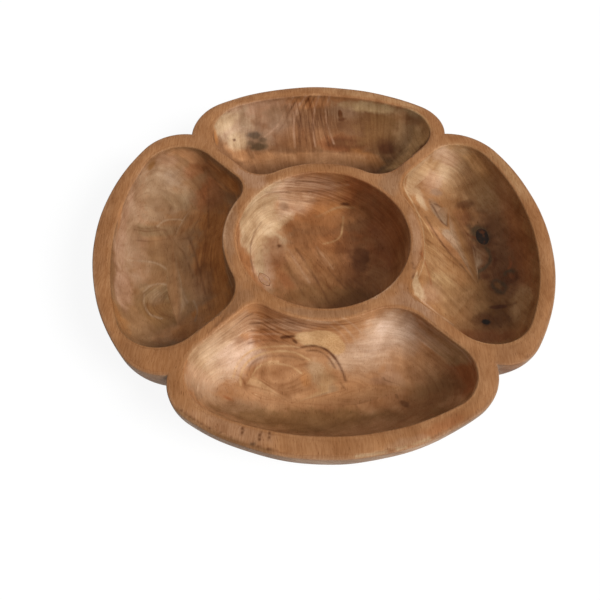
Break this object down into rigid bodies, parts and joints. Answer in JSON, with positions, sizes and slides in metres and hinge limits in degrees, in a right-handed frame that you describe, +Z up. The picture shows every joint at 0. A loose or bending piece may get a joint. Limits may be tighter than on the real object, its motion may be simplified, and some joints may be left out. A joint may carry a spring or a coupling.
{
  "type": "divided serving bowl",
  "caption": "Wooden serving bowl carved from one block, with petal-shaped wells set round a central round well inside a lobed rim.",
  "frame": {"origin": "centre of the bounding box, at the flat base", "axes": "+Z up out of the wells, -Y towards the viewer of the picture, +X to the right"},
  "size_m": [0.4, 0.4031, 0.06],
  "materials": {
    "bowl_wood": "oiled satin, brown with cream sapwood and dark growth lines",
    "patch_wood": "oiled satin, pale brown",
    "knot_wood": "near-black, smooth"
  },
  "bodies": {
    "root": {"carved_bowl": "bowl_wood", "lens_patch": "patch_wood", "knot_fill": "knot_wood"}
  },
  "joints": []
}
